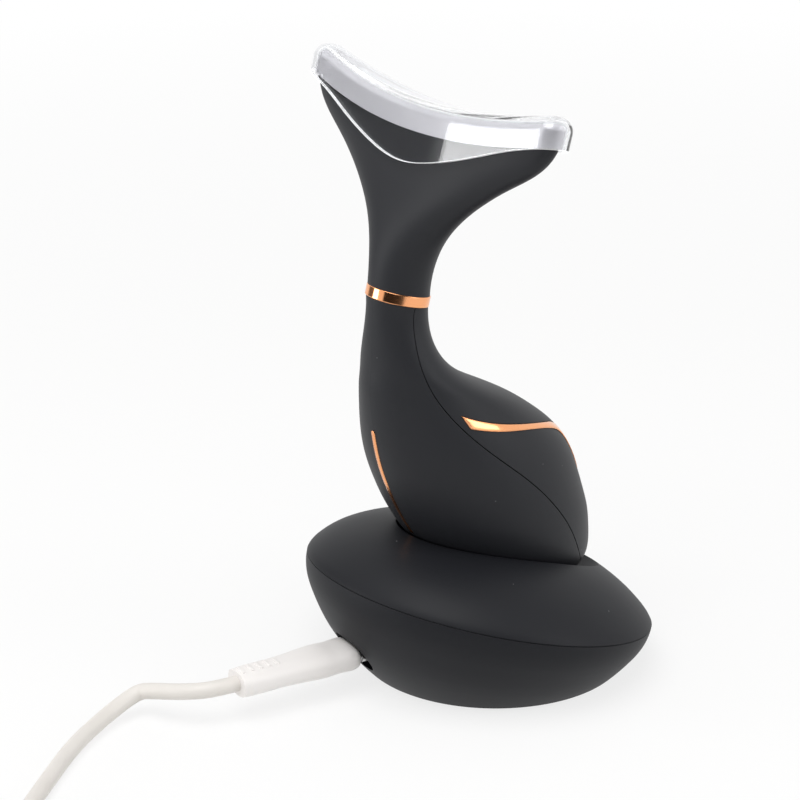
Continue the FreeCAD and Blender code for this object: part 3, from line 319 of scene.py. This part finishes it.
def black_lacquer(name, colour, roughness, sheen):
    """A dull black finish with a fine sprayed grain and sparse dust."""
    material, tree, shader = finish_named(name, Specular_IOR_Level=sheen)
    cloud = noise(tree, CLOUD_MM, detail=3.0)
    tone = remap(tree, cloud, 1 - CLOUD_TONE, 1 + CLOUD_TONE)
    shade = add(tree, "ShaderNodeMix", {6: tone}, data_type="RGBA", blend_type="MULTIPLY")
    shade.inputs[0].default_value = 1.0
    shade.inputs[7].default_value = linear(colour)
    coat = add(tree, "ShaderNodeMix", {0: dust_specks(tree), 6: shade.outputs[2]}, data_type="RGBA")
    coat.inputs[7].default_value = linear(DUST)
    tree.links.new(coat.outputs[2], shader.inputs["Base Color"])
    rough = remap(tree, cloud, roughness - CLOUD_ROUGHNESS, roughness + CLOUD_ROUGHNESS)
    tree.links.new(rough, shader.inputs["Roughness"])
    rim = add(tree, "ShaderNodeBevel", samples=4, Radius=EDGE_ROUND_MM * MM).outputs[0]
    sprayed = bumped(tree, noise(tree, GRAIN_MM, detail=2.0), 0.12, depth_mm=0.02, normal=rim)
    tree.links.new(sprayed, shader.inputs["Normal"])
    return material


soft_touch = black_lacquer("soft_touch_black_lacquer", "#212226", roughness=0.5, sheen=0.24)
base_lacquer = black_lacquer("matt_black_moulding", "#1A1B1F", roughness=0.52, sheen=0.19)
dress(soft_touch, "front_shell", "rear_shell", "head_shell", "power_button")
dress(base_lacquer, "base_top_shell", "base_bottom_shell")
print("black finishes:", soft_touch.name, "and", base_lacquer.name)

# %% [markdown]
# ## Rose-gold plating
# The neck band, the front strip and the belt are moulded plastic plated with copper and gold. The
# plating is a mirror: it shows the white surround as warm light and the black shell beside it as
# dark. Plating is never quite flat, so a slow ripple bends the reflections.

# %% Rose gold
TINT_MM = 6
RIPPLE_MM = 3.5


def plating(name, rounding_mm):
    """Rose-gold plate with a slow ripple; its edges look rounded by that much."""
    material, tree, shader = finish_named(name, Metallic=1.0, Roughness=0.12)
    warm = two_tones(tree, noise(tree, TINT_MM, detail=2.0), "#F6A873", "#FAB382")
    tree.links.new(warm, shader.inputs["Base Color"])
    rim = add(tree, "ShaderNodeBevel", samples=6, Radius=rounding_mm * MM).outputs[0]
    bend = bumped(tree, noise(tree, RIPPLE_MM, detail=1.0), 0.2, depth_mm=0.05, normal=rim)
    tree.links.new(bend, shader.inputs["Normal"])
    return material


dress(plating("rose_gold_trim", rounding_mm=0.9), "front_strip", "rear_belt")
print("plated trims: 2")

# %% [markdown]
# ## Neck band
# The band round the neck is a flat sleeve, and its ends just reach the shells above and below.
# Because it is flat, it mirrors the studio in upright patches, dark in front and bright at the
# sides. Its profile, with broken edges, is spun about the handset's own axis, where the frame has
# its plain ring. Sizes are in millimetres.

# %% Neck band
DOCK_TILT = math.radians(15.5)
DOCK_UP = Vector((math.sin(DOCK_TILT), 0.0, math.cos(DOCK_TILT)))
BAND_RADIUS = 7.7
BAND_INSIDE = 7.0
BAND_HALF_TALL = 1.3
BAND_BREAK = 0.16
BAND_STEPS = 144
BAND_CREASE = math.radians(25)
band_middle = sum((Vector(corner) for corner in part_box("neck_ring")), Vector()) / 2
upper_half = [(BAND_INSIDE, BAND_HALF_TALL), (BAND_RADIUS - BAND_BREAK, BAND_HALF_TALL),
              (BAND_RADIUS, BAND_HALF_TALL - BAND_BREAK)]
profile = upper_half + [(radius, -height) for radius, height in reversed(upper_half)]
sleeve = bmesh.new()
corners = [sleeve.verts.new(band_middle + (Vector((0, radius, 0)) + DOCK_UP * height) * MM)
           for radius, height in profile]
edges = [sleeve.edges.new((corners[number - 1], corners[number])) for number in range(len(corners))]
bmesh.ops.spin(sleeve, geom=corners + edges, cent=band_middle, axis=DOCK_UP, angle=math.tau,
               steps=BAND_STEPS, use_merge=True)
bmesh.ops.recalc_face_normals(sleeve, faces=sleeve.faces[:])


def piece_from(bm, name, material):
    """A smooth-shaded object made from a bmesh, with one finish."""
    mesh = bpy.data.meshes.new(name)
    bm.to_mesh(mesh)
    bm.free()
    mesh.shade_smooth()
    mesh.materials.append(material)
    piece = bpy.data.objects.new(name, mesh)
    scene.collection.objects.link(piece)
    return piece


band = piece_from(sleeve, "neck_band", plating("rose_gold_band", rounding_mm=0.1))
band.data.set_sharp_from_angle(angle=BAND_CREASE)
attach(band, "handset")
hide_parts("neck_ring")
print("faces of the neck band:", len(band.data.polygons))

# %% [markdown]
# ## Massage plate and its window
# The plate is metal with a satin silver finish, between paint and a mirror: pale from every side,
# with a soft gleam where it faces a lamp. The window in its top is frosted acrylic.

# %% Silver and frosted acrylic
HAZE_MM = 9
HAZE_LOW, HAZE_HIGH = 0.34, 0.46
FROST_MM = 0.6
silver, tree, shader = finish_named("silver_lacquered_plate", Metallic=0.25)
haze = remap(tree, noise(tree, HAZE_MM, detail=3.0), HAZE_LOW, HAZE_HIGH)
tree.links.new(haze, shader.inputs["Roughness"])
shader.inputs["Base Color"].default_value = linear("#D7D5D8")
dress(silver, "massage_plate")

frosted, tree, shader = finish_named("frosted_acrylic", Roughness=0.45, IOR=1.49)
milk = two_tones(tree, noise(tree, FROST_MM, detail=2.0), "#E9EAEC", "#F4F4F5")
tree.links.new(milk, shader.inputs["Base Color"])
dress(frosted, "light_window", "status_light")
print("plate and window:", silver.name, "and", frosted.name)

# %% [markdown]
# ## The cap's ground edge
# The cap's skirt ends in a cut edge that is ground, not polished. It lies below a line that sags
# with the head's saddle, and it is found where the surface there lies level or turns a sharp
# corner. Sizes are in millimetres, heights along the handset's axis.

# %% Mask of the ground edge
HANDSET_FOOT = Vector((-4.3, 0.0, 19.4))
SADDLE_HEIGHT = 111.4
SADDLE_RADIUS = 165.0
EDGE_ZONE = 3.0
CORNER_ROUND = 0.4
LEVEL_FROM = 0.4
STRAIGHT, SHARP = 0.97, 0.85
edge_top = DOCK_UP.dot(HANDSET_FOOT) + SADDLE_HEIGHT + EDGE_ZONE


def ground_edge(tree):
    """One on the skirt's cut edge, zero on the polished wall."""
    where = add(tree, "ShaderNodeTexCoord").outputs
    across = add(tree, "ShaderNodeSeparateXYZ", {0: where["Object"]}).outputs["Y"]
    square = calculate(tree, "MULTIPLY", across, across)
    sag = calculate(tree, "DIVIDE", square, 2 * SADDLE_RADIUS * MM)
    height = calculate(tree, "SUBTRACT", along(tree, where["Object"], DOCK_UP), sag)
    below = calculate(tree, "LESS_THAN", height, edge_top * MM)
    slope = calculate(tree, "ABSOLUTE", along(tree, where["Normal"], DOCK_UP))
    level = calculate(tree, "GREATER_THAN", slope, LEVEL_FROM)
    rounded = add(tree, "ShaderNodeBevel", samples=6, Radius=CORNER_ROUND * MM).outputs[0]
    normal = add(tree, "ShaderNodeNewGeometry").outputs["Normal"]
    turned = add(tree, "ShaderNodeVectorMath", {0: rounded, 1: normal}, operation="DOT_PRODUCT")
    corner = remap(tree, turned.outputs["Value"], 0.0, 1.0, STRAIGHT, SHARP)
    return calculate(tree, "MULTIPLY", below, calculate(tree, "MAXIMUM", level, corner))


print("ground edge lies below", round(edge_top, 1), "mm along the handset's axis")

# %% [markdown]
# ## Clear cap
# The cap is clear acrylic about a millimetre thick. So thin and even a wall hardly shifts what lies
# behind it, so the body bends light little, while a coat mirrors as acrylic does. The ground edge
# is opaque, and a painted highlight makes it glow as a white line, in place of the light that runs
# inside the wall. Fine scratches from handling are a weak bump, drawn out along the cap.

# %% Clear acrylic
PAINTED_HIGHLIGHT_STRENGTH = 0.5
SCRATCH_MM = 0.8
SCRATCH_STRETCH = (1.0, 0.12, 1.0)
acrylic, tree, shader = finish_named("clear_acrylic", IOR=1.12, Roughness=0.02, Coat_Weight=1.0,
                                     Coat_IOR=1.49, Coat_Roughness=0.02)
shader.inputs["Base Color"].default_value = linear("#F3F4F6")
ground_edge_and_painted_highlight = ground_edge(tree)
clear_share = calculate(tree, "SUBTRACT", 1.0, ground_edge_and_painted_highlight)
tree.links.new(clear_share, shader.inputs["Transmission Weight"])
# A painted highlight: white emission makes the ground edge glow, though it is no lamp.
painted_edge_highlight = calculate(tree, "MULTIPLY", ground_edge_and_painted_highlight, PAINTED_HIGHLIGHT_STRENGTH)
tree.links.new(painted_edge_highlight, shader.inputs["Emission Strength"])
shader.inputs["Emission Color"].default_value = WHITE
drawn_out = add(tree, "ShaderNodeMapping", {"Vector": own_place(tree)})
drawn_out.inputs["Scale"].default_value = SCRATCH_STRETCH
scratch = noise(tree, SCRATCH_MM, detail=3.0, vector=drawn_out.outputs[0])
tree.links.new(bumped(tree, scratch, 0.03, depth_mm=0.02), shader.inputs["Normal"])
dress(acrylic, "clear_cap")
print("clear piece: clear_cap")

# %% [markdown]
# ## White lead and plugs
# The grips are moulded in white TPE, and the cord is sheathed in the same: a warm white with a
# satin surface that shows a trace of handling.

# %% White TPE
HANDLING_MM = 14


def white_tpe(name, clean, handled, roughness, grain_mm):
    """A satin white moulding, a little darker where it is handled."""
    material, tree, shader = finish_named(name, Roughness=roughness, IOR=1.5)
    tone = two_tones(tree, noise(tree, HANDLING_MM, detail=4.0), clean, handled)
    tree.links.new(tone, shader.inputs["Base Color"])
    grain = bumped(tree, noise(tree, grain_mm, detail=2.0), 0.1, depth_mm=0.03)
    tree.links.new(grain, shader.inputs["Normal"])
    return material


grip_white = white_tpe("white_tpe_grip", "#F3F0EE", "#ECE8E5", roughness=0.42, grain_mm=0.5)
sheath_white = white_tpe("white_tpe_sheath", "#E5E1DC", "#DAD5CF", roughness=0.45, grain_mm=0.7)
dress(grip_white, "usb_plug_overmold", "usb_a_overmold", "usb_a_insert")
print("white finishes:", grip_white.name, "and", sheath_white.name)

# %% [markdown]
# ## Ribs on the plug's grip
# The plug in the base has five low ribs across its top, and five below, for the fingers. Each is a
# small bar with broken edges, sunk into the grip by half its height. A ray cast at the grip's own
# mesh finds the surface that it sits on. Sizes are in millimetres, places from the base's middle.

# %% Ribs on the grip
PORT_TURN = math.radians(6.5)
OUT_OF_PORT = Vector((-math.cos(PORT_TURN), math.sin(PORT_TURN), 0.0))
PORT_HEIGHT = 10.0
RIB_FIRST = 62.6
RIB_PITCH = 2.35
RIB_COUNT = 5
RIB_LONG, RIB_WIDE, RIB_TALL = 0.9, 3.2, 0.5
RIB_ROUND = 0.17
grip = nodes["usb_plug_overmold"].data
grip_surface = BVHTree.FromPolygons([corner.co for corner in grip.vertices],
                                    [face.vertices for face in grip.polygons])
bars = bmesh.new()
bar_size = Matrix.Diagonal((RIB_LONG * MM, RIB_WIDE * MM, RIB_TALL * MM, 1.0))
across_plug = Matrix.Rotation(-PORT_TURN, 4, "Z")
for number in range(RIB_COUNT):
    for side in (1, -1):
        outside = OUT_OF_PORT * (RIB_FIRST + RIB_PITCH * number)
        outside.z = PORT_HEIGHT * (1 + side)
        seat = grip_surface.ray_cast(outside * MM, Vector((0, 0, -side)))[0]
        bar_place = Matrix.Translation(seat) @ across_plug @ bar_size
        bmesh.ops.create_cube(bars, size=1.0, matrix=bar_place)
bmesh.ops.bevel(bars, geom=bars.edges[:], offset=RIB_ROUND * MM, segments=2, profile=0.5,
                affect="EDGES")
ribs = piece_from(bars, "plug_ribs", grip_white)
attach(ribs, "cable")
print("ribs on the plug's grip:", 2 * RIB_COUNT)

# %% [markdown]
# ## Hidden and small pieces
# Steel, gold-plated contacts, circuit boards, rubber, foil and a woven tie: each is plain, but none
# is a flat colour.


# %% Finishes of the small pieces
def plain_finish(name, light, dark, patch_mm, grain_mm, **settings):
    """Two close tones in patches, with a fine bump."""
    material, tree, shader = finish_named(name, **settings)
    tone = two_tones(tree, noise(tree, patch_mm, detail=3.0), light, dark)
    tree.links.new(tone, shader.inputs["Base Color"])
    grain = bumped(tree, noise(tree, grain_mm, detail=2.0), 0.15, depth_mm=0.03)
    tree.links.new(grain, shader.inputs["Normal"])
    return material


steel = plain_finish("nickel_plated_steel", "#C9C9C8", "#B4B4B3", patch_mm=4, grain_mm=0.3,
                     Metallic=1.0, Roughness=0.28)
gold = plain_finish("gold_plated_contact", "#E8C36A", "#D9AF55", patch_mm=3, grain_mm=0.3,
                    Metallic=1.0, Roughness=0.22)
board = plain_finish("green_solder_mask", "#1E5A36", "#174A2C", patch_mm=5, grain_mm=0.4,
                     Roughness=0.35)
nylon = plain_finish("moulded_dark_nylon", "#2A2A2D", "#222225", patch_mm=5, grain_mm=0.4,
                     Roughness=0.55)
rubber = plain_finish("foot_rubber", "#262627", "#1E1E1F", patch_mm=6, grain_mm=0.5, Roughness=0.8)
foil = plain_finish("cell_foil", "#B9BBBF", "#A6A8AD", patch_mm=8, grain_mm=0.8, Metallic=0.8,
                    Roughness=0.35)
sleeving = plain_finish("wire_sleeve", "#8E1F1C", "#7A1917", patch_mm=3, grain_mm=0.4,
                        Roughness=0.5)
lens = plain_finish("lamp_lens", "#F6EBB4", "#EFE2A0", patch_mm=2, grain_mm=0.3, Roughness=0.2)
weave = plain_finish("woven_tie", "#2B2B2D", "#1F1F21", patch_mm=1.2, grain_mm=0.6, Roughness=0.85)
dress(steel, "usb_socket", "usb_plug_shell", "usb_a_shell", "base_ballast", "base_board_screws",
      "vibration_motor")
dress(gold, "contact_pin_left", "contact_pin_right", "contact_barrels", "charge_pads",
      "eccentric_weight")
dress(board, "base_circuit_board", "main_circuit_board", "led_board")
dress(nylon, "usb_socket_tongue", "contact_block", "button_switch", "motor_cradle", "chassis")
dress(rubber, "base_foot_pad")
dress(foil, "battery_cell")
dress(sleeving, "head_wires")
dress(lens, "led_chips")
dress(weave, "coil_tie")
print("nodes with a finish:", sum(1 for item in nodes.values() if item.data.materials))

# %% [markdown]
# ## The lead's route
# The lead is about a metre of limp cord. It leaves the plug straight, drops to the table and
# wanders to the edge of the picture. The rest is put away in a flat coil of two layers: it winds in
# below, climbs in the middle and winds out above, and a short tail runs to the other plug. Places
# are in millimetres, those of the coil and the tail in the coil's own frame.

# %% Route of the lead
CORD_RADIUS = 2.0
LEAD_ROUTE = [(-72.88, 8.3, 10), (-79.38, 9.04, 10), (-84.38, 14.3, 8.9), (-88.2, 22.4, 7.1),
              (-89.4, 25.4, 6.2), (-93.0, 25.9, 4.9), (-100.38, 24.6, 3.0), (-112.68, 18.6, 2.2),
              (-125.58, 8.5, 2.1), (-138.08, -1.9, 2.4)]
TAIL_ROUTE = [(0, 8, 0), (2, 19, -1.6), (5.8, 30, -3.6), (8.7, 37.6, -3.6)]
COIL_CENTRE = Vector((-145.57, -43.0, 0.0))
COIL_TURN = math.radians(133.0)
COIL_OUTER = 24.0
COIL_PITCH = 4.6
COIL_RISE = 4.6
COIL_LOW = 3.1
CLIMB_AT = 6
HALF_TURNS_OUT = 7
POINTS_PER_HALF_TURN = 12


def coil_points():
    """Half turns of steady pitch: they go in below, one climbs, and the rest go out above."""
    steps_in = list(range(CLIMB_AT + 1)) + [CLIMB_AT - 1 - step for step in range(HALF_TURNS_OUT)]
    here = Vector((COIL_OUTER, 0, COIL_LOW))
    points = [here - Vector((0, CORD_RADIUS * 2, 0))]
    for number, step_in in enumerate(steps_in):
        radius = COIL_OUTER - COIL_PITCH / 2 * step_in
        rise = COIL_RISE if number == CLIMB_AT else 0
        to_middle = Vector((-radius if number % 2 == 0 else radius, 0, 0))
        middle = here + to_middle
        for step in range(POINTS_PER_HALF_TURN):
            share = step / POINTS_PER_HALF_TURN
            turn = math.pi * (number + share)
            climb = rise * share * share * (3 - 2 * share)
            around = Vector((math.cos(turn) * radius, math.sin(turn) * radius, climb))
            points.append(middle + around)
        here = middle + to_middle + Vector((0, 0, rise))
    return points + [here]


def on_table(point):
    """A place of the coil's own frame, on the table."""
    return COIL_CENTRE + Matrix.Rotation(COIL_TURN, 3, "Z") @ point


coil = coil_points()
run_in = coil[0] - Vector((0, CORD_RADIUS * 4, 0))
run_out = coil[-1] + Vector((0, CORD_RADIUS * 2, 0))
tail = [run_out + Vector(point) for point in TAIL_ROUTE]
route = [Vector(point) for point in LEAD_ROUTE]
route += [on_table(point) for point in [run_in] + coil + [run_out] + tail]
print("points of the lead:", len(route))

# %% [markdown]
# ## The lead
# One NURBS spline of order three follows the route's points, so every bend is smooth. It stands for
# the three solids of the lead, which are hidden, and is parented to the cable's body.

# %% The lead
cord_curve = bpy.data.curves.new("white_lead", "CURVE")
cord_curve.dimensions = "3D"
cord_curve.bevel_depth = CORD_RADIUS * MM
cord_curve.bevel_resolution = 5
cord_curve.resolution_u = 6
cord_curve.use_fill_caps = True
spline = cord_curve.splines.new("NURBS")
spline.points.add(len(route) - 1)
for control, point in zip(spline.points, route):
    control.co = (*(point * MM), 1.0)
spline.order_u = 3
spline.use_endpoint_u = True
lead = bpy.data.objects.new("white_lead", cord_curve)
scene.collection.objects.link(lead)
cord_curve.materials.append(sheath_white)
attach(lead, "cable")
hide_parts("cord_lead", "cord_coil", "cord_tail")
